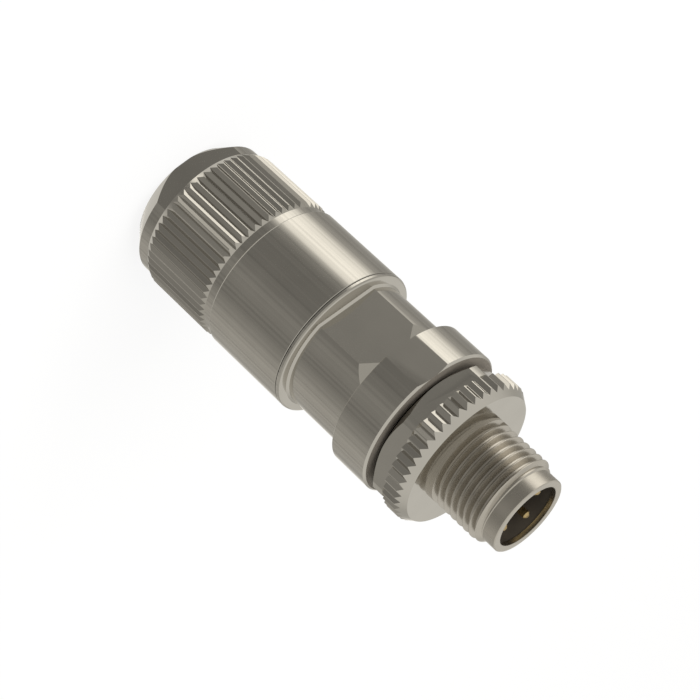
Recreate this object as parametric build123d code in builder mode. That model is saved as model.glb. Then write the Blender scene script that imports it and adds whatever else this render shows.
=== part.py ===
from build123d import *
import os
from math import acos, cos, degrees, radians, sin

# Straight field-attachable circular connector, M12 screw coupling, male contacts.
# Millimetres. +Z is the axis, from the cable end to the mating end.
# The connector stands on the rear face of its gland nut, and the origin is the centre of that face.

# Driving lengths along the axis, rear face to nose
overall_length = 59.3
gland_length = 15.8
sleeve_length = 11.95
flange_thickness = 0.85
waist_length = 9.0
collar_length = 5.5
nut_gap = 0.55
nut_neck_length = 2.55
nut_knurl_length = 3.15
thread_shank_length = 0.85
thread_length = 7.2
lip_length = 0.65
mating_depth = 8.6

# Driving diameters and widths
outer_d = 20.2
band_d = 19.3
rear_face_d = 15.6
gland_across_flats = 15.3
skirt_d = 19.5
waist_d = 17.57
waist_across_flats = 15.5
collar_across_flats = 19.66
neck_d = 20.1
neck_across_flats = 18.0
thread_d = 11.96
pilot_d = 10.5
lip_width = 0.85
cup_wall = 0.48
cable_entry_d = 8.4

# Directions of the wrench flats and of one hexagon corner about the axis, in degrees from +X
gland_flat_angle = -110.6
body_flat_angle = -115.35
neck_corner_angle = -82.85

# Running clearances, radial unless said
turn_clearance = 0.07
thread_clearance = 0.1
seat_clearance = 0.05
seam = 0.05

# Knurls
gland_groove_count = 60
nut_groove_count = 50
nut_knurl_phase = -92.3
gland_knurl_phase = -87.0
gland_knurl_start = 3.8
gland_skirt = 1.15
gland_knurl_depth = 0.4
nut_knurl_depth = 0.5
knurl_land = 0.06
knurl_root = 0.14
knurl_rear_bevel = 0.9
knurl_front_bevel = 0.8
nut_knurl_bevel = 1.25
nut_front_d = 18.5

# Screw threads between the shells, drawn at their major diameter
sleeve_thread_d = 17.8
sleeve_thread_length = 4.15
gland_thread_d = 17.2
gland_thread_length = 7.85

# Poles
pole_count = 4
pin_d = 1.0
pin_circle_d = 5.5
pin_length = 7.6
key_angle = -72.0
key_width = 0.8
key_height = 0.55

# Planes along the axis
gland_knurl_end = gland_length - gland_skirt
sleeve_z = gland_length + seam
flange_z = gland_length + sleeve_length
waist_z = flange_z + flange_thickness
collar_z = waist_z + waist_length
collar_front_z = collar_z + collar_length
neck_z = collar_front_z + nut_gap
nut_flange_z = neck_z + nut_neck_length
nut_front_z = nut_flange_z + nut_knurl_length
thread_z = nut_front_z + thread_shank_length
thread_end_z = thread_z + thread_length
outer_r = outer_d / 2
waist_r = waist_d / 2


def turned(points, mode=Mode.ADD):
    """Turn a closed outline of (radius, height) points about the axis, in the part being built."""
    with BuildSketch(Plane.XZ) as profile:
        with BuildLine():
            Polyline(*points, close=True)
        make_face()
    revolve(profile.sketch, axis=Axis.Z, mode=mode)


def knurl_outline(crest_r, root_r, count, phase):
    """Closed outline of a straight V knurl: a narrow crest land, then a narrow root, all round."""
    pitch = 360 / count
    crest_half = degrees(knurl_land / 2 / crest_r)
    root_half = degrees(knurl_root / 2 / root_r)
    points = []
    for index in range(count):
        root_angle = phase + index * pitch
        for radius, angle in (
            (root_r, root_angle - root_half),
            (root_r, root_angle + root_half),
            (crest_r, root_angle + pitch / 2 - crest_half),
            (crest_r, root_angle + pitch / 2 + crest_half),
        ):
            points.append((radius * cos(radians(angle)), radius * sin(radians(angle))))
    return points


def knurled_ring(crest_r, root_r, count, phase, low, high):
    """Extrude the knurl outline between two heights, in the part being built."""
    with BuildSketch(Plane.XY.offset(low)) as section:
        with BuildLine():
            Polyline(*knurl_outline(crest_r, root_r, count, phase), close=True)
        make_face()
    extrude(section.sketch, amount=high - low)


def finish(piece, name):
    """Label a finished piece and write it."""
    piece.part.label = name
    export_step(piece.part, f"parts/{name}.step")


os.makedirs("parts", exist_ok=True)

# Gland nut: knurled cap that closes the cable end and squeezes the clamping cage.
gland_floor = 1.6
gland_cone_start = gland_floor + 0.4
gland_cone_end = 5.0
gland_cone_small_r = 6.2
gland_bore_r = 7.05
gland_thread_start = gland_length - gland_thread_length - 0.6
gland_thread_r = gland_thread_d / 2
gland_rear_cone = 2.31
entry_chamfer = 0.5
edge_break = 0.15
gland_root_r = outer_r - gland_knurl_depth
skirt_r = skirt_d / 2
band_r = band_d / 2
cut_margin = 1.0

with BuildPart() as gland_nut:
    knurled_ring(
        outer_r, gland_root_r, gland_groove_count, gland_knurl_phase, gland_knurl_start, gland_knurl_end
    )
    turned([
        (0, gland_knurl_start),
        (band_r, gland_knurl_start),
        (outer_r + seam, gland_knurl_start + knurl_rear_bevel),
        (outer_r + seam, gland_knurl_end - knurl_front_bevel),
        (skirt_r, gland_knurl_end),
        (0, gland_knurl_end),
    ], mode=Mode.INTERSECT)
    turned([
        (0, 0),
        (rear_face_d / 2, 0),
        (band_r, gland_rear_cone),
        (band_r, gland_knurl_end),
        (skirt_r, gland_knurl_end),
        (skirt_r, gland_length - edge_break),
        (skirt_r - edge_break, gland_length),
        (0, gland_length),
    ])
    # A pair of wrench flats on the band behind the knurl
    with BuildSketch():
        Circle(band_r + cut_margin)
        Rectangle(gland_across_flats, 2 * outer_d, rotation=gland_flat_angle, mode=Mode.SUBTRACT)
    extrude(amount=gland_knurl_start, mode=Mode.SUBTRACT)
    turned([
        (0, 0),
        (cable_entry_d / 2 + entry_chamfer, 0),
        (cable_entry_d / 2, entry_chamfer),
        (cable_entry_d / 2, gland_floor),
        (gland_cone_small_r, gland_floor),
        (gland_cone_small_r, gland_cone_start),
        (gland_bore_r, gland_cone_end),
        (gland_bore_r, gland_thread_start),
        (gland_thread_r + thread_clearance, gland_thread_start),
        (gland_thread_r + thread_clearance, gland_length),
        (0, gland_length),
    ], mode=Mode.SUBTRACT)
finish(gland_nut, "gland_nut")

# Thrust ring: slip ring between the floor of the gland nut and the fingers of the cage.
thrust_ring_t = 0.6
thrust_ring_chamfer = 0.3
thrust_ring_inner_r = cable_entry_d / 2 + 0.3
thrust_ring_outer_r = gland_cone_small_r - 0.1

with BuildPart() as thrust_ring:
    turned([
        (thrust_ring_inner_r, gland_floor),
        (thrust_ring_outer_r, gland_floor),
        (thrust_ring_outer_r, gland_floor + thrust_ring_t - thrust_ring_chamfer),
        (thrust_ring_outer_r - thrust_ring_chamfer, gland_floor + thrust_ring_t),
        (thrust_ring_inner_r, gland_floor + thrust_ring_t),
    ])
finish(thrust_ring, "thrust_ring")

# Rear sleeve: smooth shell between gland nut and head, threaded at both ends.
spigot_tip_z = sleeve_z - gland_thread_length
clamp_seat_depth = 2.0
clamp_seat_z = spigot_tip_z + clamp_seat_depth
clamp_bore_r = 7.1
clamp_shoulder_t = 1.2
clamp_shoulder_r = 4.9
spigot_bore_r = 7.4
chamber_r = 8.4
chamber_cone_end_z = sleeve_z + 0.6
chamber_cone_start_z = chamber_cone_end_z - 1.0
sleeve_thread_r = sleeve_thread_d / 2
sleeve_thread_z = flange_z - sleeve_thread_length
thread_run_out = 0.5
ring_section_r = 0.38
gland_ring_z = sleeve_z - 0.65
ring_groove_half = ring_section_r + 0.07
ring_groove_depth = 2 * ring_section_r - 0.01
spigot_chamfer = 0.3

with BuildPart() as rear_sleeve:
    turned([
        (clamp_bore_r, spigot_tip_z),
        (gland_thread_r - spigot_chamfer, spigot_tip_z),
        (gland_thread_r, spigot_tip_z + spigot_chamfer),
        (gland_thread_r, gland_ring_z - ring_groove_half),
        (gland_thread_r - ring_groove_depth, gland_ring_z - ring_groove_half),
        (gland_thread_r - ring_groove_depth, gland_ring_z + ring_groove_half),
        (gland_thread_r, gland_ring_z + ring_groove_half),
        (gland_thread_r, sleeve_z),
        (outer_r - edge_break, sleeve_z),
        (outer_r, sleeve_z + edge_break),
        (outer_r, flange_z - seam - edge_break),
        (outer_r - edge_break, flange_z - seam),
        (sleeve_thread_r + thread_clearance, flange_z - seam),
        (sleeve_thread_r + thread_clearance, sleeve_thread_z - thread_run_out),
        (chamber_r, sleeve_thread_z - thread_run_out),
        (chamber_r, chamber_cone_end_z),
        (spigot_bore_r, chamber_cone_start_z),
        (spigot_bore_r, clamp_seat_z + clamp_shoulder_t),
        (clamp_shoulder_r, clamp_seat_z + clamp_shoulder_t),
        (clamp_shoulder_r, clamp_seat_z),
        (clamp_bore_r, clamp_seat_z),
    ])
finish(rear_sleeve, "rear_sleeve")

# Seal rings of the two screwed seams, each in its groove, moulded with eight flat sides.
ring_stand_out = 0.02
ring_sides = 8
head_ring_z = flange_z - ring_section_r - 0.1

with BuildPart() as gland_seal_ring:
    with BuildSketch(Plane.XZ):
        with Locations((gland_thread_r - ring_section_r + ring_stand_out, gland_ring_z)):
            RegularPolygon(ring_section_r, ring_sides, major_radius=False, rotation=180 / ring_sides)
    revolve(axis=Axis.Z)
finish(gland_seal_ring, "gland_seal_ring")

with BuildPart() as housing_seal_ring:
    with BuildSketch(Plane.XZ):
        with Locations((sleeve_thread_r - ring_section_r + ring_stand_out, head_ring_z)):
            RegularPolygon(ring_section_r, ring_sides, major_radius=False, rotation=180 / ring_sides)
    revolve(axis=Axis.Z)
finish(housing_seal_ring, "housing_seal_ring")

# Shield ring: slotted spring ring that joins the braid of the cable to the shell.
shield_ring_t = 0.35
shield_ring_z = clamp_seat_z - seat_clearance - shield_ring_t
shield_slot_count = 12
shield_slot_length = 2.2
shield_slot_width = 0.5

with BuildPart() as shield_ring:
    turned([
        (clamp_shoulder_r, shield_ring_z),
        (clamp_bore_r - seat_clearance, shield_ring_z),
        (clamp_bore_r - seat_clearance, shield_ring_z + shield_ring_t),
        (clamp_shoulder_r, shield_ring_z + shield_ring_t),
    ])
    with BuildSketch(Plane.XY.offset(shield_ring_z)):
        with PolarLocations(clamp_shoulder_r, shield_slot_count):
            Rectangle(shield_slot_length, shield_slot_width)
    extrude(amount=shield_ring_t, mode=Mode.SUBTRACT)
finish(shield_ring, "shield_ring")

# Clamping cage: moulded collet whose fingers the gland nut bends onto the seal.
cage_inner_r = 5.7
cage_base_z = spigot_tip_z - 0.2
cage_step = 0.3
cage_top_z = shield_ring_z - seat_clearance
cage_play = 0.15
cage_tip_z = gland_floor + thrust_ring_t + cage_play
cage_tip_r = thrust_ring_outer_r
cage_shoulder_z = gland_cone_end + 0.3
finger_count = 12
finger_slot = 0.6
finger_slot_depth = 3.6
cage_outer_r = gland_bore_r - cage_play

with BuildPart() as clamping_cage:
    turned([
        (cage_inner_r, cage_tip_z),
        (cage_tip_r, cage_tip_z),
        (cage_outer_r, cage_shoulder_z),
        (cage_outer_r, cage_base_z),
        (clamp_bore_r - seat_clearance, cage_base_z + cage_step),
        (clamp_bore_r - seat_clearance, cage_top_z),
        (cage_inner_r, cage_top_z),
    ])
    with BuildSketch(Plane.XY.offset(cage_tip_z)):
        with PolarLocations(gland_bore_r, finger_count):
            Rectangle(finger_slot_depth, finger_slot)
    extrude(amount=cage_base_z - cage_tip_z, mode=Mode.SUBTRACT)
finish(clamping_cage, "clamping_cage")

# Cable seal: soft ribbed bush inside the cage.
seal_inner_r = 4.3
seal_outer_r = cage_inner_r - seat_clearance
seal_low_z = cage_tip_z + 0.2
seal_high_z = cage_top_z - seat_clearance
seal_rib = 0.35
seal_rib_count = 3

with BuildPart() as cable_seal:
    rib_pitch = (seal_high_z - seal_low_z) / seal_rib_count
    seal_bore = []
    for rib in range(seal_rib_count):
        rib_z = seal_high_z - rib * rib_pitch
        seal_bore.append((seal_inner_r, rib_z))
        seal_bore.append((seal_inner_r + seal_rib, rib_z - rib_pitch / 2))
    turned([
        (seal_inner_r, seal_low_z),
        (seal_outer_r, seal_low_z),
        (seal_outer_r, seal_high_z),
        *seal_bore,
    ])
finish(cable_seal, "cable_seal")

# Head: one turned body with the seam flange, the waist with its wrench flats, the collar behind
# the coupling nut and the spigot that the nut turns on.
head_spigot_bore_r = 7.85
head_bore_r = 6.7
head_bore_z = waist_z - 0.25
insert_seat_z = collar_z - 1.0
cup_bore_r = pilot_d / 2 - lip_width
cup_outer_r = cup_bore_r + cup_wall
cup_end_z = overall_length - lip_length - seat_clearance
pivot_r = 6.2
pivot_end_z = neck_z + 1.7
recess_r = 8.0
recess_z = collar_front_z - 2.4
collar_chamfer = 0.35
flange_round = 0.25
snap_groove_z = neck_z + 0.8
snap_groove_width = 0.55
snap_groove_r = 5.7
corner_cut_length = 2.2
corner_cut_width = 6.0
corner_cut_depth = 0.56

with BuildPart() as front_housing:
    with BuildSketch(Plane.XY.offset(waist_z)):
        Circle(waist_r)
        Rectangle(waist_across_flats, waist_d * 2, rotation=body_flat_angle, mode=Mode.INTERSECT)
    extrude(amount=waist_length)
    # The corners of the flats are bevelled where they run into the collar
    flat_half_angle = degrees(acos(waist_across_flats / waist_d))
    for turn, side in ((0, 1), (0, -1), (180, 1), (180, -1)):
        corner_angle = radians(body_flat_angle + turn + side * flat_half_angle)
        bevel_angle = radians(body_flat_angle + turn + side * flat_half_angle / 2)
        corner_plane = Plane(
            origin=(waist_r * cos(corner_angle), waist_r * sin(corner_angle), 0),
            x_dir=(cos(bevel_angle), sin(bevel_angle), 0),
            z_dir=(sin(bevel_angle), -cos(bevel_angle), 0),
        )
        with BuildSketch(corner_plane):
            with BuildLine():
                Polyline(
                    (0, collar_z - corner_cut_length),
                    (cut_margin, collar_z - corner_cut_length),
                    (cut_margin, collar_z),
                    (-corner_cut_depth, collar_z),
                    close=True,
                )
            make_face()
        extrude(amount=corner_cut_width / 2, both=True, mode=Mode.SUBTRACT)
    with BuildSketch(Plane.XY.offset(collar_z)):
        Circle(outer_r)
        Rectangle(collar_across_flats, outer_d * 2, rotation=body_flat_angle, mode=Mode.INTERSECT)
    extrude(amount=collar_length)
    turned([
        (outer_r - collar_chamfer, collar_front_z),
        (outer_r + cut_margin, collar_front_z - collar_chamfer - cut_margin),
        (outer_r + cut_margin, collar_front_z),
    ], mode=Mode.SUBTRACT)
    turned([
        (0, sleeve_thread_z),
        (sleeve_thread_r - spigot_chamfer, sleeve_thread_z),
        (sleeve_thread_r, sleeve_thread_z + spigot_chamfer),
        (sleeve_thread_r, head_ring_z - ring_groove_half),
        (sleeve_thread_r - ring_groove_depth, head_ring_z - ring_groove_half),
        (sleeve_thread_r - ring_groove_depth, flange_z),
        (outer_r, flange_z),
        (outer_r, waist_z - flange_round),
        (outer_r - flange_round, waist_z),
        (0, waist_z),
    ])
    turned([
        (pivot_r, recess_z),
        (recess_r, recess_z),
        (recess_r, collar_front_z),
        (pivot_r, collar_front_z),
    ], mode=Mode.SUBTRACT)
    turned([
        (0, collar_front_z),
        (pivot_r, collar_front_z),
        (pivot_r, snap_groove_z),
        (snap_groove_r, snap_groove_z),
        (snap_groove_r, snap_groove_z + snap_groove_width),
        (pivot_r, snap_groove_z + snap_groove_width),
        (pivot_r, pivot_end_z),
        (0, pivot_end_z),
    ])
    turned([
        (0, sleeve_thread_z),
        (head_spigot_bore_r, sleeve_thread_z),
        (head_spigot_bore_r, head_bore_z),
        (head_bore_r, head_bore_z),
        (head_bore_r, insert_seat_z),
        (cup_outer_r + seat_clearance, insert_seat_z),
        (cup_outer_r + seat_clearance, pivot_end_z),
        (0, pivot_end_z),
    ], mode=Mode.SUBTRACT)
finish(front_housing, "front_housing")

# Snap ring: open wire ring that keeps the coupling nut on its spigot.
snap_ring_inner_r = snap_groove_r + seat_clearance
snap_ring_outer_r = pivot_r + 0.35
snap_ring_t = snap_groove_width - 2 * seat_clearance
snap_ring_gap = 2.4

with BuildPart() as snap_ring:
    with BuildSketch(Plane.XY.offset(snap_groove_z + seat_clearance)):
        Circle(snap_ring_outer_r)
        Circle(snap_ring_inner_r, mode=Mode.SUBTRACT)
        with Locations((snap_ring_outer_r, 0)):
            Rectangle(snap_ring_outer_r, snap_ring_gap, mode=Mode.SUBTRACT)
    extrude(amount=snap_ring_t)
finish(snap_ring, "snap_ring")

# Coupling nut: hexagonal neck, knurled flange, M12 thread and a plain pilot, whose lip covers the
# end of the tube round the contacts.
nut_bore_r = cup_outer_r + turn_clearance
nut_pivot_bore_r = pivot_r + turn_clearance
nut_step_z = pivot_end_z + 0.3
nut_root_r = outer_r - nut_knurl_depth
neck_sides = 6
neck_bevel_slope = 0.84
thread_r = thread_d / 2
pilot_r = pilot_d / 2
pilot_chamfer = 0.12
thread_chamfer = thread_r - pilot_r
groove_play = 0.08

with BuildPart() as coupling_nut:
    knurled_ring(outer_r, nut_root_r, nut_groove_count, nut_knurl_phase, nut_flange_z, nut_front_z)
    turned([
        (0, nut_flange_z),
        (outer_r, nut_flange_z),
        (outer_r, nut_front_z - nut_knurl_bevel),
        (nut_front_d / 2, nut_front_z),
        (0, nut_front_z),
    ], mode=Mode.INTERSECT)
    with BuildSketch(Plane.XY.offset(neck_z)):
        Circle(neck_d / 2)
        RegularPolygon(
            neck_across_flats / 2, neck_sides, major_radius=False, rotation=neck_corner_angle, mode=Mode.INTERSECT
        )
    extrude(amount=nut_neck_length)
    # The corners of the hexagon are turned off at a slope towards the rear face
    neck_cut_r = neck_d / 2 + cut_margin
    turned([
        (neck_across_flats / 2, neck_z),
        (neck_cut_r, neck_z),
        (neck_cut_r, neck_z + neck_bevel_slope * (neck_cut_r - neck_across_flats / 2)),
    ], mode=Mode.SUBTRACT)
    turned([
        (0, nut_flange_z),
        (thread_r, nut_flange_z),
        (thread_r, thread_end_z - thread_chamfer),
        (pilot_r, thread_end_z),
        (pilot_r, overall_length - pilot_chamfer),
        (pilot_r - pilot_chamfer, overall_length),
        (0, overall_length),
    ])
    turned([
        (0, neck_z),
        (nut_pivot_bore_r, neck_z),
        (nut_pivot_bore_r, snap_groove_z - groove_play),
        (snap_ring_outer_r + groove_play, snap_groove_z - groove_play),
        (snap_ring_outer_r + groove_play, snap_groove_z + snap_groove_width + groove_play),
        (nut_pivot_bore_r, snap_groove_z + snap_groove_width + groove_play),
        (nut_pivot_bore_r, nut_step_z),
        (nut_bore_r, nut_step_z),
        (nut_bore_r, overall_length - lip_length),
        (cup_bore_r, overall_length - lip_length),
        (cup_bore_r, overall_length),
        (0, overall_length),
    ], mode=Mode.SUBTRACT)
finish(coupling_nut, "coupling_nut")

# Contact insert: moulded carrier of the pins, with the tube round them and the coding rib in it.
insert_front_z = overall_length - mating_depth
insert_rear_r = head_bore_r - seat_clearance
insert_rear_z = flange_z + 0.35
pin_circle_r = pin_circle_d / 2
pin_r = pin_d / 2
pin_hole_r = pin_r + 0.02
key_end_z = cup_end_z - 0.3

with BuildPart() as contact_insert:
    turned([
        (0, insert_rear_z),
        (insert_rear_r, insert_rear_z),
        (insert_rear_r, insert_seat_z),
        (cup_outer_r, insert_seat_z),
        (cup_outer_r, cup_end_z),
        (cup_bore_r, cup_end_z),
        (cup_bore_r, insert_front_z),
        (0, insert_front_z),
    ])
    with BuildSketch(Plane.XY.offset(insert_front_z)):
        Circle(cup_bore_r + cup_wall / 2)
        Circle(cup_bore_r - key_height, mode=Mode.SUBTRACT)
        with PolarLocations(cup_bore_r, 1, start_angle=key_angle):
            Rectangle(cup_bore_r, key_width, mode=Mode.INTERSECT)
    extrude(amount=key_end_z - insert_front_z)
    with BuildSketch(Plane.XY.offset(insert_rear_z)):
        with PolarLocations(pin_circle_r, pole_count):
            Circle(pin_hole_r)
    extrude(amount=insert_front_z - insert_rear_z, mode=Mode.SUBTRACT)
finish(contact_insert, "contact_insert")

# Terminal block: moulded ring of four pockets, one screw clamp in each.
block_rear_z = sleeve_z + 0.9
block_chamfer = 0.4
block_r = head_spigot_bore_r - 0.15
clamp_z = block_rear_z + 2.0
clamp_length = 5.0
clamp_inner = 2.3
clamp_outer = 6.2
clamp_width = 3.0
clamp_fit = 0.05
wire_hole_r = 1.1
wire_circle_r = 4.0
screw_z = clamp_z + clamp_length / 2
screw_r = 0.95
screw_hole_r = screw_r + 0.05
screw_pocket_r = 1.25
clamp_mid = (clamp_inner + clamp_outer) / 2
clamp_depth = clamp_outer - clamp_inner

with BuildPart() as terminal_block:
    turned([
        (0, block_rear_z),
        (block_r - block_chamfer, block_rear_z),
        (block_r, block_rear_z + block_chamfer),
        (block_r, insert_rear_z),
        (0, insert_rear_z),
    ])
    with BuildSketch(Plane.XY.offset(clamp_z)):
        with PolarLocations(clamp_mid, pole_count):
            Rectangle(clamp_depth + 2 * clamp_fit, clamp_width + 2 * clamp_fit)
    extrude(amount=clamp_length, mode=Mode.SUBTRACT)
    with BuildSketch(Plane.XY.offset(block_rear_z)):
        with PolarLocations(wire_circle_r, pole_count):
            Circle(wire_hole_r)
    extrude(amount=clamp_z - block_rear_z, mode=Mode.SUBTRACT)
    with BuildSketch(Plane.XY.offset(clamp_z + clamp_length)):
        with PolarLocations(pin_circle_r, pole_count):
            Circle(pin_hole_r)
    extrude(amount=insert_rear_z - clamp_z - clamp_length, mode=Mode.SUBTRACT)
    for pole in range(pole_count):
        pole_angle = 360 / pole_count * pole
        outward = (cos(radians(pole_angle)), sin(radians(pole_angle)), 0)
        with BuildSketch(Plane(origin=(0, 0, screw_z), x_dir=(0, 0, 1), z_dir=outward).offset(clamp_mid)):
            Circle(screw_pocket_r)
        extrude(amount=block_r, mode=Mode.SUBTRACT)
finish(terminal_block, "terminal_block")

# Contact pins, one a pole, from the clamp to the mating face.
pin_end_z = insert_front_z + pin_length
pin_tip_chamfer = 0.25
for pole in range(pole_count):
    with BuildPart() as contact_pin:
        with BuildSketch(Plane.XY.offset(clamp_z + clamp_length)):
            with PolarLocations(pin_circle_r, 1, start_angle=360 / pole_count * pole):
                Circle(pin_r)
        extrude(amount=pin_end_z - clamp_z - clamp_length)
        chamfer(contact_pin.edges().sort_by(Axis.Z)[-1], pin_tip_chamfer)
    finish(contact_pin, f"contact_pin_{pole + 1}")

# Screw clamps: a tube that takes the wire, a pressure plate in it and the slotted screw behind.
window_width = 2.0
window_inner = 3.1
window_outer = 5.3
plate_t = 0.35
plate_width = 1.8
plate_length = 3.6
plate_outer = window_outer - 0.05
screw_tail_r = plate_outer
screw_length = 2.3
slot_width = 0.35
slot_depth = 0.5

for pole in range(pole_count):
    pole_angle = 360 / pole_count * pole
    outward = (cos(radians(pole_angle)), sin(radians(pole_angle)), 0)
    radial_plane = Plane(origin=(0, 0, screw_z), x_dir=(0, 0, 1), z_dir=outward)

    with BuildPart() as terminal_clamp:
        with BuildSketch(Plane.XY.offset(clamp_z)):
            with PolarLocations(clamp_mid, 1, start_angle=pole_angle):
                Rectangle(clamp_depth, clamp_width)
            with PolarLocations((window_inner + window_outer) / 2, 1, start_angle=pole_angle):
                Rectangle(window_outer - window_inner, window_width, mode=Mode.SUBTRACT)
        extrude(amount=clamp_length)
        with BuildSketch(radial_plane.offset(clamp_mid)):
            Circle(screw_hole_r)
        extrude(amount=clamp_depth, mode=Mode.SUBTRACT)
    finish(terminal_clamp, f"terminal_clamp_{pole + 1}")

    with BuildPart() as pressure_plate:
        with BuildSketch(radial_plane.offset(plate_outer - plate_t)):
            Rectangle(plate_length, plate_width)
        extrude(amount=plate_t)
    finish(pressure_plate, f"pressure_plate_{pole + 1}")

    with BuildPart() as terminal_screw:
        with BuildSketch(radial_plane.offset(screw_tail_r)):
            Circle(screw_r)
        extrude(amount=screw_length)
        with BuildSketch(radial_plane.offset(screw_tail_r + screw_length - slot_depth)):
            Rectangle(slot_width, 3 * screw_r)
        extrude(amount=slot_depth, mode=Mode.SUBTRACT)
    finish(terminal_screw, f"terminal_screw_{pole + 1}")
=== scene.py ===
from math import cos, pi, radians, sin

import bpy
from mathutils import Matrix, Vector


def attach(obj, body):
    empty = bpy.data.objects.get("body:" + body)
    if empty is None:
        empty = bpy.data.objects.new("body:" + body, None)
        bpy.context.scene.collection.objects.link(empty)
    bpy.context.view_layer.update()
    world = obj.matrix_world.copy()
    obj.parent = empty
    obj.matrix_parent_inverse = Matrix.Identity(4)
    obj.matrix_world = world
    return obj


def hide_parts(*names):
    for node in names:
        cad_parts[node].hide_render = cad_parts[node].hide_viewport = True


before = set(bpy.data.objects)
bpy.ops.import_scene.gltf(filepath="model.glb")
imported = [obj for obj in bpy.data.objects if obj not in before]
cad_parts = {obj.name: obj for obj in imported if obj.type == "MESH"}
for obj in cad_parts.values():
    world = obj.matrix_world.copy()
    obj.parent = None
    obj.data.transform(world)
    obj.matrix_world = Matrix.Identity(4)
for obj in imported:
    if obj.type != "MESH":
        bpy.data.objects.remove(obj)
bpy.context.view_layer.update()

# The viewpoint. The lens looks down the nose of the plug at 24 degrees and rolls until the axis runs
# from the upper left to the lower right.
camera_right = Vector((-0.6831, 0.2988, 0.6664))
camera_up = Vector((-0.7303, -0.2795, -0.6233))
camera_back = Vector((0.0, -0.9125, 0.4091))
plug_middle = Vector((0, 0, 0.0286))
camera_distance = 0.27566
shift_right = 0.000552
shift_up = -0.000503
camera_place = plug_middle + camera_distance * camera_back
camera_place += shift_right * camera_right
camera_place += shift_up * camera_up
lens = bpy.data.cameras.new("photo_lens")
lens.lens = 121.21
lens.sensor_width = 36
lens.clip_start = 0.01
camera = bpy.data.objects.new("photo_camera", lens)
turn = Matrix((camera_right, camera_up, camera_back)).transposed().to_4x4()
camera.matrix_world = Matrix.Translation(camera_place) @ turn
bpy.context.scene.collection.objects.link(camera)
bpy.context.scene.camera = camera
bpy.context.scene.view_settings.view_transform = "Standard"

# The room. White all round for the lens, for polished metal and for anything clear, and a plain level
# of soft light for the rest.
room = bpy.data.worlds.new("white_room")
bpy.context.scene.world = room
room.use_nodes = True
nodes, links = room.node_tree.nodes, room.node_tree.links
nodes.clear()
ray = nodes.new("ShaderNodeLightPath")
lens_or_gloss = nodes.new("ShaderNodeMath")
lens_or_gloss.operation = "MAXIMUM"
links.new(ray.outputs["Is Camera Ray"], lens_or_gloss.inputs[0])
links.new(ray.outputs["Is Glossy Ray"], lens_or_gloss.inputs[1])
seen = nodes.new("ShaderNodeMath")
seen.operation = "MAXIMUM"
links.new(lens_or_gloss.outputs[0], seen.inputs[0])
links.new(ray.outputs["Is Transmission Ray"], seen.inputs[1])
soft_light = nodes.new("ShaderNodeBackground")
soft_light.inputs["Color"].default_value = (1.0, 0.99, 0.97, 1)
soft_light.inputs["Strength"].default_value = 0.55
white = nodes.new("ShaderNodeBackground")
white.inputs["Color"].default_value = (1, 1, 1, 1)
white.inputs["Strength"].default_value = 1.0
choose = nodes.new("ShaderNodeMixShader")
links.new(seen.outputs[0], choose.inputs[0])
links.new(soft_light.outputs[0], choose.inputs[1])
links.new(white.outputs[0], choose.inputs[2])
room_out = nodes.new("ShaderNodeOutputWorld")
links.new(choose.outputs[0], room_out.inputs["Surface"])

# The floor. A small round board that the plug stands on. It looks white to the lens and still keeps the
# plug's soft shadow.
bpy.ops.object.select_all(action="DESELECT")
bpy.ops.mesh.primitive_circle_add(vertices=96, radius=0.6, fill_type="NGON", location=(0, 0, -0.00002))
floor = bpy.context.object
floor.name = "floor_board"
board_white = bpy.data.materials.new("board_white")
board_white.use_nodes = True
nodes, links = board_white.node_tree.nodes, board_white.node_tree.links
nodes.clear()
seen_white = 1.12
seen_share = 0.75
paint = nodes.new("ShaderNodeBsdfDiffuse")
paint.inputs["Color"].default_value = (0.86, 0.86, 0.86, 1)
ray = nodes.new("ShaderNodeLightPath")
glow = nodes.new("ShaderNodeEmission")
glow.inputs["Color"].default_value = (1, 1, 1, 1)
glow_level = nodes.new("ShaderNodeMath")
glow_level.operation = "MULTIPLY"
glow_level.inputs[1].default_value = seen_white
links.new(ray.outputs["Is Camera Ray"], glow_level.inputs[0])
links.new(glow_level.outputs[0], glow.inputs["Strength"])
lit = nodes.new("ShaderNodeMixShader")
lit.inputs[0].default_value = seen_share
links.new(paint.outputs[0], lit.inputs[1])
links.new(glow.outputs[0], lit.inputs[2])
floor_out = nodes.new("ShaderNodeOutputMaterial")
links.new(lit.outputs[0], floor_out.inputs["Surface"])
floor.data.materials.append(board_white)
floor.visible_glossy = False

# The studio tent. It is seen only in the polish of the metal: grey card in front, one tall strip of
# light to the left of the lens, paler card to the right, behind and higher up, a pale canopy that comes
# lower behind, and a pale ground round a dark bench.
bpy.ops.object.select_all(action="DESELECT")
bpy.ops.mesh.primitive_uv_sphere_add(segments=64, ring_count=32, radius=2.0, location=(0, 0, 0.03))
tent = bpy.context.object
tent.name = "studio_tent"
bpy.ops.object.transform_apply(location=True, rotation=False, scale=False)
tent_card = bpy.data.materials.new("tent_card")
tent_card.use_nodes = True
nodes, links = tent_card.node_tree.nodes, tent_card.node_tree.links
nodes.clear()
tent_level = 1.7


def share_between(value, start, end, kind="SMOOTHSTEP"):
    """How far a value has come on its way from start to end, as 0 to 1."""
    share = nodes.new("ShaderNodeMapRange")
    share.interpolation_type = kind
    share.inputs["From Min"].default_value = start
    share.inputs["From Max"].default_value = end
    links.new(value, share.inputs["Value"])
    return share.outputs[0]


def pick_of_two(operation, first, second):
    """The larger or the smaller of two values."""
    pick = nodes.new("ShaderNodeMath")
    pick.operation = operation
    links.new(first, pick.inputs[0])
    links.new(second, pick.inputs[1])
    return pick.outputs[0]


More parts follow.
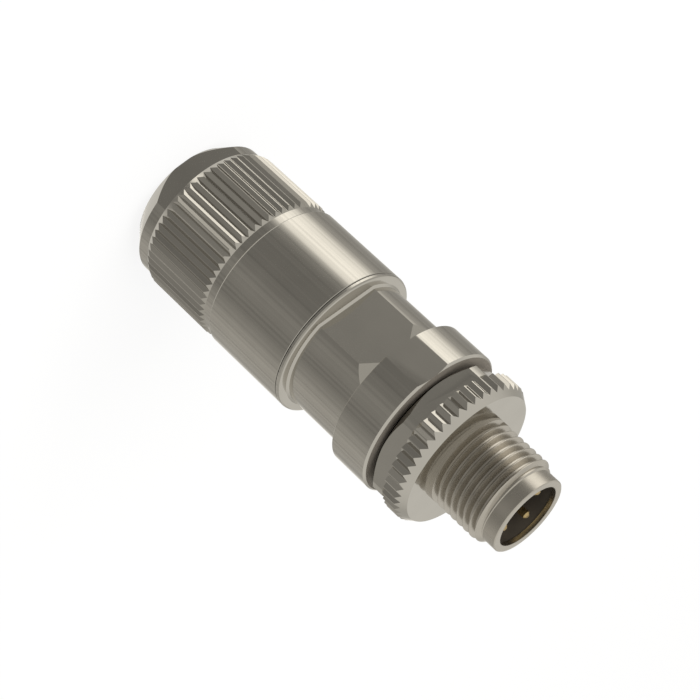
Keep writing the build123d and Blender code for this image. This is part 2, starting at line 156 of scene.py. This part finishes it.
where = nodes.new("ShaderNodeTexCoord")
split = nodes.new("ShaderNodeSeparateXYZ")
links.new(where.outputs["Object"], split.inputs[0])
minus_y = nodes.new("ShaderNodeMath")
minus_y.operation = "MULTIPLY"
minus_y.inputs[1].default_value = -1
links.new(split.outputs["Y"], minus_y.inputs[0])
round_angle = nodes.new("ShaderNodeMath")
round_angle.operation = "ARCTAN2"
links.new(split.outputs["X"], round_angle.inputs[0])
links.new(minus_y.outputs[0], round_angle.inputs[1])
wall = nodes.new("ShaderNodeValToRGB")
wall_cards = (
    (-180, 0.75), (-166, 0.55), (-156, 0.42), (-140, 0.38), (-126, 0.38), (-114, 0.56), (-106, 0.95),
    (-100, 1.30), (-90, 1.50), (-76, 1.53), (-69, 1.38), (-63, 0.70), (-56, 0.37), (-46, 0.245),
    (-20, 0.225), (2, 0.235), (14, 0.29), (26, 0.325), (42, 0.305), (56, 0.275), (72, 0.335),
    (90, 0.45), (106, 0.515), (130, 0.51), (150, 0.46), (160, 0.63), (170, 0.88),
)
for spot, (angle, level) in enumerate(wall_cards):
    place = (angle + 180) / 360
    card = wall.color_ramp.elements.new(place) if spot else wall.color_ramp.elements[0]
    card.position = place
    tone = level / tent_level
    card.color = (tone, tone * 0.965, tone * 0.885, 1)
links.new(share_between(round_angle.outputs[0], -pi, pi, "LINEAR"), wall.inputs["Fac"])
roof = nodes.new("ShaderNodeRGB")
roof_tone = 0.74 / tent_level
roof.outputs[0].default_value = (roof_tone, roof_tone * 0.975, roof_tone * 0.91, 1)
canopy_slope = 0.22
canopy = nodes.new("ShaderNodeVectorMath")
canopy.operation = "DOT_PRODUCT"
canopy.inputs[1].default_value = (0, canopy_slope, 1)
links.new(where.outputs["Object"], canopy.inputs[0])
under_canopy = share_between(canopy.outputs["Value"], 0.48, 1.01)
near_ground = share_between(split.outputs["Z"], -1.3, -1.6)
off_bench = share_between(split.outputs["Z"], -1.92, -1.84, "LINEAR")
low_light = pick_of_two("MINIMUM", near_ground, off_bench)
above_or_below = pick_of_two("MAXIMUM", under_canopy, low_light)
folds = nodes.new("ShaderNodeTexNoise")
folds.noise_dimensions = "1D"
folds.inputs["Scale"].default_value = 16
folds.inputs["Detail"].default_value = 4
links.new(round_angle.outputs[0], folds.inputs["W"])
fold_tone = nodes.new("ShaderNodeMapRange")
fold_tone.inputs["From Min"].default_value = 0.3
fold_tone.inputs["From Max"].default_value = 0.6
fold_tone.inputs["To Min"].default_value = 0.74
fold_tone.inputs["To Max"].default_value = 1.06
links.new(folds.outputs["Fac"], fold_tone.inputs["Value"])
folded_wall = nodes.new("ShaderNodeMix")
folded_wall.data_type = "RGBA"
folded_wall.blend_type = "MULTIPLY"
folded_wall.inputs["Factor"].default_value = 1
links.new(wall.outputs["Color"], folded_wall.inputs["A"])
links.new(fold_tone.outputs[0], folded_wall.inputs["B"])
upper_wall = nodes.new("ShaderNodeMix")
upper_wall.data_type = "RGBA"
links.new(share_between(split.outputs["Z"], -0.42, 0.15), upper_wall.inputs["Factor"])
links.new(folded_wall.outputs["Result"], upper_wall.inputs["A"])
upper_tone = 0.5 / tent_level
upper_wall.inputs["B"].default_value = (upper_tone, upper_tone * 0.97, upper_tone * 0.89, 1)
wall_to_roof = nodes.new("ShaderNodeMix")
wall_to_roof.data_type = "RGBA"
links.new(above_or_below, wall_to_roof.inputs["Factor"])
links.new(upper_wall.outputs["Result"], wall_to_roof.inputs["A"])
links.new(roof.outputs[0], wall_to_roof.inputs["B"])
tent_glow = nodes.new("ShaderNodeEmission")
tent_glow.inputs["Strength"].default_value = tent_level
links.new(wall_to_roof.outputs["Result"], tent_glow.inputs["Color"])
tent_out = nodes.new("ShaderNodeOutputMaterial")
links.new(tent_glow.outputs[0], tent_out.inputs["Surface"])
tent_card.cycles.emission_sampling = "NONE"
tent.data.materials.append(tent_card)
tent.visible_camera = False
tent.visible_diffuse = False
tent.visible_transmission = False
tent.visible_volume_scatter = False
tent.visible_shadow = False

# The lamp. One broad soft box over the viewer's left shoulder, which lights the black plastic and the
# floor and isn't seen in the metal.
softbox = bpy.data.lights.new("softbox", "AREA")
softbox.energy = 6.5
softbox.size = 1.0
softbox.color = (1.0, 0.99, 0.97)
lamp = bpy.data.objects.new("softbox", softbox)
lamp.location = (-0.5, -0.6, 0.95)
lamp.rotation_euler = (Vector((0, 0, 0.03)) - lamp.location).to_track_quat("-Z", "Y").to_euler()
lamp.visible_glossy = False
bpy.context.scene.collection.objects.link(lamp)

# Terminal block. Black glass-filled nylon, moulded, with four pockets for the screw clamps and a wire
# funnel behind each. It sits in the wiring chamber at the back of the head.
def moulded(name, colour, roughness, grain_size, grain_depth):
    """Moulded plastic or rubber: even colour, faint mottling and the fine grain of the mould."""
    material = bpy.data.materials.new(name)
    material.use_nodes = True
    nodes, links = material.node_tree.nodes, material.node_tree.links
    shader = nodes["Principled BSDF"]
    where = nodes.new("ShaderNodeTexCoord")
    mottle = nodes.new("ShaderNodeTexNoise")
    mottle.inputs["Scale"].default_value = grain_size * 0.2
    mottle.inputs["Detail"].default_value = 3
    links.new(where.outputs["Object"], mottle.inputs["Vector"])
    tones = nodes.new("ShaderNodeValToRGB")
    tones.color_ramp.elements[0].position = 0.3
    tones.color_ramp.elements[0].color = (*(0.85 * part for part in colour), 1)
    tones.color_ramp.elements[1].position = 0.75
    tones.color_ramp.elements[1].color = (*(1.15 * part for part in colour), 1)
    links.new(mottle.outputs["Fac"], tones.inputs["Fac"])
    links.new(tones.outputs["Color"], shader.inputs["Base Color"])
    grain = nodes.new("ShaderNodeTexNoise")
    grain.inputs["Scale"].default_value = grain_size
    grain.inputs["Detail"].default_value = 4
    links.new(where.outputs["Object"], grain.inputs["Vector"])
    bump = nodes.new("ShaderNodeBump")
    bump.inputs["Strength"].default_value = 0.25
    bump.inputs["Distance"].default_value = grain_depth
    links.new(grain.outputs["Fac"], bump.inputs["Height"])
    links.new(bump.outputs["Normal"], shader.inputs["Normal"])
    sheen_range = nodes.new("ShaderNodeMapRange")
    sheen_range.inputs["To Min"].default_value = roughness - 0.06
    sheen_range.inputs["To Max"].default_value = roughness + 0.06
    links.new(grain.outputs["Fac"], sheen_range.inputs["Value"])
    links.new(sheen_range.outputs[0], shader.inputs["Roughness"])
    return material


def dress(node, material):
    """Give a carried-over solid its finish."""
    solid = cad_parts[node]
    solid.data.materials.clear()
    solid.data.materials.append(material)


dress("terminal_block", moulded("black_nylon", (0.03, 0.03, 0.032), 0.5, 2600, 0.00001))

# Screw clamps. Tinned brass tubes with a pressure plate inside, and a zinc-plated slotted screw each.
# They stand in the pockets of the terminal block, one a pole.
def small_metal(name, colour, roughness, grain_size):
    """Small plated parts: bright metal with a fine uneven polish."""
    material = bpy.data.materials.new(name)
    material.use_nodes = True
    nodes, links = material.node_tree.nodes, material.node_tree.links
    shader = nodes["Principled BSDF"]
    shader.inputs["Metallic"].default_value = 1.0
    where = nodes.new("ShaderNodeTexCoord")
    patches = nodes.new("ShaderNodeTexNoise")
    patches.inputs["Scale"].default_value = grain_size
    patches.inputs["Detail"].default_value = 4
    links.new(where.outputs["Object"], patches.inputs["Vector"])
    tones = nodes.new("ShaderNodeValToRGB")
    tones.color_ramp.elements[0].position = 0.3
    tones.color_ramp.elements[0].color = (*(0.9 * part for part in colour), 1)
    tones.color_ramp.elements[1].position = 0.7
    tones.color_ramp.elements[1].color = (*colour, 1)
    links.new(patches.outputs["Fac"], tones.inputs["Fac"])
    links.new(tones.outputs["Color"], shader.inputs["Base Color"])
    polish = nodes.new("ShaderNodeMapRange")
    polish.inputs["To Min"].default_value = roughness - 0.07
    polish.inputs["To Max"].default_value = roughness + 0.07
    links.new(patches.outputs["Fac"], polish.inputs["Value"])
    links.new(polish.outputs[0], shader.inputs["Roughness"])
    return material


tinned_brass = small_metal("tinned_brass", (0.66, 0.60, 0.48), 0.3, 1800)
bright_zinc = small_metal("bright_zinc", (0.62, 0.62, 0.63), 0.28, 1800)
for pole in (1, 2, 3, 4):
    dress(f"terminal_clamp_{pole}", tinned_brass)
    dress(f"pressure_plate_{pole}", tinned_brass)
    dress(f"terminal_screw_{pole}", bright_zinc)

# Contact pins. Turned brass with chamfered tips, gold flashed. Four stand on a circle, pressed into the
# insert from behind, each in line with its screw clamp.
gold_flash = small_metal("gold_flash", (0.60, 0.46, 0.23), 0.38, 2400)
for pole in (1, 2, 3, 4):
    dress(f"contact_pin_{pole}", gold_flash)

# Contact insert. Black nylon, moulded with the tube round the pins and the coding rib inside it. It is
# pushed into the head from behind.
dress("contact_insert", moulded("insert_nylon", (0.085, 0.072, 0.056), 0.5, 2200, 0.000012))

# Snap ring. A split ring of hard-drawn spring wire. It sits in a groove of the head's spigot and keeps
# the coupling nut on.
dress("snap_ring", small_metal("spring_wire", (0.56, 0.56, 0.57), 0.32, 1500))

# Cable clamp. A black nylon cage of fingers round a soft ribbed bush, with a slotted spring ring that
# meets the braid and a natural nylon slip ring behind.
dress("clamping_cage", moulded("cage_nylon", (0.04, 0.04, 0.042), 0.5, 2400, 0.00001))
dress("cable_seal", moulded("seal_rubber", (0.03, 0.03, 0.03), 0.75, 1500, 0.00002))
dress("shield_ring", tinned_brass)
dress("thrust_ring", moulded("slip_nylon", (0.72, 0.71, 0.67), 0.45, 2200, 0.00001))

# Seal rings. Two rings of black rubber, one in the groove of each screwed seam, where they keep water
# out of the shells.
ring_rubber = moulded("ring_rubber", (0.025, 0.025, 0.025), 0.6, 2000, 0.00001)
dress("gland_seal_ring", ring_rubber)
dress("housing_seal_ring", ring_rubber)

# Head. One piece of brass, turned, milled with a pair of flats on the waist and a shallow pair on the
# collar, and nickel plated. The insert sits inside and the coupling nut turns on its front spigot.
mm = 0.001


def lathe(name, outline, steps=300):
    """Draw a closed outline of (radius, height) points in mm and spin it about the axis."""
    bpy.ops.object.select_all(action="DESELECT")
    bpy.ops.mesh.primitive_plane_add(size=mm)
    piece = bpy.context.object
    piece.name = piece.data.name = name
    bpy.ops.object.mode_set(mode="EDIT")
    bpy.ops.mesh.merge(type="CENTER")
    bpy.ops.transform.translate(value=(outline[0][0] * mm, 0, outline[0][1] * mm))
    for here, there in zip(outline, outline[1:] + outline[:1]):
        step = ((there[0] - here[0]) * mm, 0, (there[1] - here[1]) * mm)
        bpy.ops.mesh.extrude_region_move(TRANSFORM_OT_translate={"value": step})
    bpy.ops.mesh.select_all(action="SELECT")
    bpy.ops.mesh.remove_doubles(threshold=0.000001)
    if steps:
        bpy.ops.mesh.spin(steps=steps, angle=2 * pi, center=(0, 0, 0), axis=(0, 0, 1))
        bpy.ops.mesh.select_all(action="SELECT")
        bpy.ops.mesh.remove_doubles(threshold=0.000001)
        bpy.ops.mesh.normals_make_consistent(inside=False)
    bpy.ops.object.mode_set(mode="OBJECT")
    return piece


def bar(name, corners, along):
    """Draw a closed flat outline of points in mm and extrude it by a vector, as a cutter."""
    bpy.ops.object.select_all(action="DESELECT")
    bpy.ops.mesh.primitive_plane_add(size=mm)
    piece = bpy.context.object
    piece.name = piece.data.name = name
    bpy.ops.object.mode_set(mode="EDIT")
    bpy.ops.mesh.merge(type="CENTER")
    bpy.ops.transform.translate(value=[part * mm for part in corners[0]])
    for here, there in zip(corners, corners[1:] + corners[:1]):
        step = [(b - a) * mm for a, b in zip(here, there)]
        bpy.ops.mesh.extrude_region_move(TRANSFORM_OT_translate={"value": step})
    bpy.ops.mesh.select_all(action="SELECT")
    bpy.ops.mesh.remove_doubles(threshold=0.000001)
    bpy.ops.mesh.edge_face_add()
    bpy.ops.mesh.extrude_region_move(TRANSFORM_OT_translate={"value": [part * mm for part in along]})
    bpy.ops.mesh.select_all(action="SELECT")
    bpy.ops.mesh.normals_make_consistent(inside=False)
    bpy.ops.object.mode_set(mode="OBJECT")
    return piece


def repeat_round(piece, count):
    """Copy a cutter round the axis until it stands count times."""
    bpy.ops.object.empty_add(location=(0, 0, 0), rotation=(0, 0, 2 * pi / count))
    pitch = bpy.context.object
    bpy.context.view_layer.objects.active = piece
    copies = piece.modifiers.new("copies", "ARRAY")
    copies.count = count
    copies.use_relative_offset = False
    copies.use_object_offset = True
    copies.offset_object = pitch
    bpy.ops.object.modifier_apply(modifier="copies")
    bpy.data.objects.remove(pitch)


def cut(piece, cutter):
    """Take the cutter's shape out of the piece and throw the cutter away."""
    bpy.ops.object.select_all(action="DESELECT")
    bpy.context.view_layer.objects.active = piece
    piece.select_set(True)
    milling = piece.modifiers.new("milling", "BOOLEAN")
    milling.operation = "DIFFERENCE"
    milling.solver = "EXACT"
    milling.object = cutter
    bpy.ops.object.modifier_apply(modifier="milling")
    bpy.data.objects.remove(cutter)


def flat_cutter(name, distance, angle, low, high, foot=0.0, reach=12.0, depth=4.0):
    """A block whose inner face lies a distance from the axis, in a direction in degrees from +X.

    A foot leaves a bevel of that size where the flat ends at the shoulder below it.
    """
    out = Vector((cos(radians(angle)), sin(radians(angle)), 0))
    side = Vector((-out.y, out.x, 0))
    outline = [(distance + depth, low), (distance + foot, low)]
    if foot:
        outline.append((distance, low + foot))
    outline += [(distance, high), (distance + depth, high)]
    corners = [tuple(out * r - side * reach + Vector((0, 0, z))) for r, z in outline]
    return bar(name, corners, tuple(side * 2 * reach))


def nickel(name, colour, roughness, turning_depth, metallic=1.0):
    """Nickel plate over turned brass: fine rings left by the tool, softened by tumbling, and clouding."""
    material = bpy.data.materials.new(name)
    material.use_nodes = True
    nodes, links = material.node_tree.nodes, material.node_tree.links
    shader = nodes["Principled BSDF"]
    shader.inputs["Metallic"].default_value = metallic
    where = nodes.new("ShaderNodeTexCoord")
    clouds = nodes.new("ShaderNodeTexNoise")
    clouds.inputs["Scale"].default_value = 220
    clouds.inputs["Detail"].default_value = 5
    links.new(where.outputs["Object"], clouds.inputs["Vector"])
    tones = nodes.new("ShaderNodeValToRGB")
    tones.color_ramp.elements[0].position = 0.3
    tones.color_ramp.elements[0].color = (*(0.96 * part for part in colour), 1)
    tones.color_ramp.elements[1].position = 0.7
    tones.color_ramp.elements[1].color = (*(1.02 * part for part in colour), 1)
    links.new(clouds.outputs["Fac"], tones.inputs["Fac"])
    links.new(tones.outputs["Color"], shader.inputs["Base Color"])
    polish = nodes.new("ShaderNodeMapRange")
    polish.inputs["To Min"].default_value = roughness - 0.03
    polish.inputs["To Max"].default_value = roughness + 0.03
    links.new(clouds.outputs["Fac"], polish.inputs["Value"])
    links.new(polish.outputs[0], shader.inputs["Roughness"])
    squeeze = nodes.new("ShaderNodeMapping")
    squeeze.inputs["Scale"].default_value = (150, 150, 9000)
    links.new(where.outputs["Object"], squeeze.inputs["Vector"])
    rings = nodes.new("ShaderNodeTexNoise")
    rings.inputs["Scale"].default_value = 1
    rings.inputs["Detail"].default_value = 3
    links.new(squeeze.outputs["Vector"], rings.inputs["Vector"])
    tumbled = nodes.new("ShaderNodeTexNoise")
    tumbled.inputs["Scale"].default_value = 3500
    tumbled.inputs["Detail"].default_value = 2
    links.new(where.outputs["Object"], tumbled.inputs["Vector"])
    marks = nodes.new("ShaderNodeMath")
    marks.operation = "ADD"
    links.new(rings.outputs["Fac"], marks.inputs[0])
    links.new(tumbled.outputs["Fac"], marks.inputs[1])
    bump = nodes.new("ShaderNodeBump")
    bump.inputs["Strength"].default_value = 0.1
    bump.inputs["Distance"].default_value = turning_depth
    links.new(marks.outputs[0], bump.inputs["Height"])
    links.new(bump.outputs["Normal"], shader.inputs["Normal"])
    return material


def complete(piece, material, body, node):
    """Smooth the turned faces, plate the piece and put it in the place of its solid."""
    bpy.ops.object.select_all(action="DESELECT")
    bpy.context.view_layer.objects.active = piece
    piece.select_set(True)
    bpy.ops.object.shade_smooth_by_angle(angle=radians(15))
    piece.data.materials.clear()
    piece.data.materials.append(material)
    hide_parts(node)
    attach(piece, body)


tool_mark_depth = 0.000004
nickel_plate = nickel("nickel_plate", (0.58, 0.56, 0.52), 0.11, tool_mark_depth)
body_r = 10.1
waist_z = 28.45
shoulder_bevel = 0.27
waist_r = 8.785
collar_z = 37.6
collar_front_z = 43.1
recess_r = 8.0
recess_z = 40.7

head = lathe("head_shell", [
    (7.85, 23.6), (8.6, 23.6), (8.9, 23.9), (8.9, 26.82), (8.15, 26.82), (8.15, 27.75),
    (10.04, 27.75), (body_r, 27.81), (body_r, 28.12), (10.03, 28.3), (9.88, 28.41), (9.7, waist_z),
    (waist_r + shoulder_bevel, waist_z), (waist_r, waist_z + shoulder_bevel), (waist_r, collar_z),
    (10.04, collar_z), (body_r, 37.66), (body_r, 42.84), (9.84, collar_front_z),
    (recess_r, collar_front_z), (recess_r, recess_z), (6.2, recess_z), (6.2, 44.45), (5.7, 44.45),
    (5.7, 45.0), (6.2, 45.0), (6.2, 45.35), (4.93, 45.35), (4.93, 36.6), (6.7, 36.6), (6.7, 28.35),
    (7.85, 28.35),
])
body_flats = -115.35
flat_half = 7.75
collar_flat_half = 9.83
overcut = 0.2
corner_cut_length = 2.3
corner_cut_depth = 0.72
corner_turn = 28.09
corner_lean = 14.04
for flats_turn in (body_flats, body_flats + 180):
    cut(head, flat_cutter("waist_mill", flat_half, flats_turn, waist_z, collar_z, foot=shoulder_bevel))
    cut(head, flat_cutter(
        "collar_mill", collar_flat_half, flats_turn, collar_z - overcut, collar_front_z + overcut))
    for side in (-1, 1):
        corner = radians(flats_turn + side * corner_turn)
        leaning = radians(flats_turn + side * corner_lean)
        foot = Vector((waist_r * cos(corner), waist_r * sin(corner), 0))
        out = Vector((cos(leaning), sin(leaning), 0))
        across = Vector((-out.y, out.x, 0)) * 3
        top = Vector((0, 0, collar_z))
        start = Vector((0, 0, collar_z - corner_cut_length))
        wedge = [
            foot - across + start,
            foot - across + out + start,
            foot - across + out + top,
            foot - across - out * corner_cut_depth + top,
        ]
        cut(head, bar("corner_mill", [tuple(point) for point in wedge], tuple(across * 2)))
complete(head, nickel_plate, "head", "front_housing")
# Painted shade: the faces in the gap before the coupling nut and the wall of the recess get a dark brown,
# rough, nearly unmetallic plate that stands in for the shade in the gap.
head.data.materials.append(nickel("painted_gap_shade", (0.30, 0.27, 0.23), 0.6, tool_mark_depth, metallic=0.15))
for face in head.data.polygons:
    face_r = Vector(face.center.xy).length / mm
    face_z = face.center.z / mm
    faces_gap = face_z > recess_z - 0.1 and face_r < collar_flat_half and abs(face.normal.z) > 0.9
    lines_recess = face_z > recess_z and abs(face_r - recess_r) < 0.1
    if faces_gap or lines_recess:
        face.material_index = 1

# Coupling nut. Brass, turned from bar, with a hexagonal neck, a straight-knurled flange, the M12 thread
# and a plain pilot, nickel plated. It turns freely on the head, held by the snap ring.
major_r = 5.98
pilot_r = 5.25
flange_front_z = 49.35
lip_z = 58.65
nut = lathe("coupling_nut_shell", [
    (6.27, 43.65), (9.0, 43.65), (10.05, 44.53), (10.05, 46.2), (body_r, 46.2), (body_r, 48.1),
    (9.25, flange_front_z), (major_r, flange_front_z), (major_r, 56.67), (pilot_r, 57.4), (pilot_r, 59.18),
    (5.13, 59.3), (4.37, 59.3), (4.31, 59.24), (4.31, lip_z), (4.95, lip_z), (4.95, 45.65), (6.27, 45.65),
    (6.27, 45.08), (6.63, 45.08), (6.63, 44.37), (6.27, 44.37),
])
flange_groove_depth = 0.39
flange_groove_half_width = 0.6
flange_groove_count = 50
flange_groove_phase = radians(-92.3)


def groove_cutter(name, rim_r, depth, half_width, phase, low, high):
    """One V groove of a straight knurl, with its sides carried on just past the rim."""
    out = Vector((cos(phase), sin(phase), 0))
    side = Vector((-out.y, out.x, 0))
    base = Vector((0, 0, low))
    past_rim = 0.03
    half_root = 0.02
    half_top = half_width * (depth + past_rim) / depth
    corners = [
        base + out * (rim_r - depth) - side * half_root,
        base + out * (rim_r + past_rim) - side * half_top,
        base + out * (rim_r + past_rim) + side * half_top,
        base + out * (rim_r - depth) + side * half_root,
    ]
    return bar(name, [tuple(point) for point in corners], (0, 0, high - low))


grooves = groove_cutter(
    "flange_groove", body_r, flange_groove_depth, flange_groove_half_width, flange_groove_phase, 46.1, 49.5)
repeat_round(grooves, flange_groove_count)
cut(nut, grooves)
hexagon_half = 9.0
hexagon_turn = -52.85
for side in range(6):
    cut(nut, flat_cutter("hexagon_mill", hexagon_half, hexagon_turn + 60 * side, 43.4, 46.19))

thread_root_r = 5.33
thread_tool_r = 6.03
thread_start_z = 49.95
thread_start_turn = -pi
thread_pitch = 1.0
thread_turns = 8
thread_steps = 96
thread_half_root = 0.1
thread_half_open = 0.49
thread_tool = lathe("thread_tool", [
    (thread_root_r, thread_start_z - thread_half_root), (thread_tool_r, thread_start_z - thread_half_open),
    (thread_tool_r, thread_start_z + thread_half_open), (thread_root_r, thread_start_z + thread_half_root),
], steps=0)
winding = thread_tool.modifiers.new("winding", "SCREW")
winding.angle = 2 * pi
winding.screw_offset = thread_pitch * mm
winding.iterations = thread_turns
winding.steps = winding.render_steps = thread_steps
bpy.ops.object.modifier_apply(modifier="winding")
bpy.ops.object.mode_set(mode="EDIT")
bpy.ops.mesh.select_all(action="DESELECT")
bpy.ops.mesh.select_mode(type="EDGE")
bpy.ops.mesh.select_non_manifold()
bpy.ops.mesh.fill_holes(sides=4)
bpy.ops.mesh.select_all(action="SELECT")
bpy.ops.mesh.normals_make_consistent(inside=False)
bpy.ops.mesh.select_mode(type="VERT")
bpy.ops.object.mode_set(mode="OBJECT")
thread_tool.rotation_euler.z = thread_start_turn
bpy.ops.object.transform_apply(location=False, rotation=True, scale=False)
cut(nut, thread_tool)
complete(nut, nickel_plate, "coupling_nut", "coupling_nut")
# The thread, the pilot and the mouth get a rougher plate, a little darker and browner than the rest.
nut.data.materials.append(nickel("thread_plate", (0.56, 0.53, 0.48), 0.27, tool_mark_depth))
for face in nut.data.polygons:
    face_r = Vector(face.center.xy).length / mm
    face_z = face.center.z / mm
    on_thread = face_z > flange_front_z + 0.01 and face_r > pilot_r - 0.05
    if on_thread or face_z > lip_z - 0.05:
        face.material_index = 1

# Rear sleeve. Turned brass, nickel plated and left smooth outside. It screws onto the back of the head
# and closes the wiring chamber.
sleeve = lathe("sleeve_shell", [
    (7.1, 8.0), (8.3, 8.0), (8.6, 8.3), (8.6, 14.75), (7.85, 14.75), (7.85, 15.65), (8.6, 15.65),
    (8.6, 15.85), (9.98, 15.85), (10.07, 15.88), (body_r, 15.97), (body_r, 27.62), (10.06, 27.69),
    (9.98, 27.7), (9.0, 27.7), (9.0, 23.1), (8.4, 23.1), (8.4, 16.45), (7.4, 15.45), (7.4, 11.2),
    (4.9, 11.2), (4.9, 10.0), (7.1, 10.0),
])
complete(sleeve, nickel_plate, "rear_sleeve", "rear_sleeve")

# Gland nut. Turned brass, straight knurled, with a pair of wrench flats on the band behind the knurl,
# nickel plated. It screws onto the back of the sleeve and squeezes the cable clamp.
gland = lathe("gland_shell", [
    (4.7, 0.0), (7.72, 0.0), (7.8, 0.06), (9.65, 2.31), (9.65, 3.8), (body_r, 4.7), (body_r, 14.05),
    (9.75, 14.62), (9.75, 15.66), (9.6, 15.8), (8.7, 15.8), (8.7, 7.35), (7.05, 7.35), (7.05, 5.0),
    (6.2, 2.0), (6.2, 1.58), (4.2, 1.58), (4.2, 0.5),
])
gland_groove_depth = 0.33
gland_groove_half_width = 0.5
gland_groove_count = 60
gland_groove_phase = radians(-87)
grooves = groove_cutter(
    "gland_groove", body_r, gland_groove_depth, gland_groove_half_width, gland_groove_phase, 3.6, 14.66)
repeat_round(grooves, gland_groove_count)
cut(gland, grooves)
gland_flat_half = 7.65
gland_flats = -110.6
for flats_turn in (gland_flats, gland_flats + 180):
    cut(gland, flat_cutter("gland_mill", gland_flat_half, flats_turn, -0.2, 3.8))
complete(gland, nickel_plate, "gland_nut", "gland_nut")
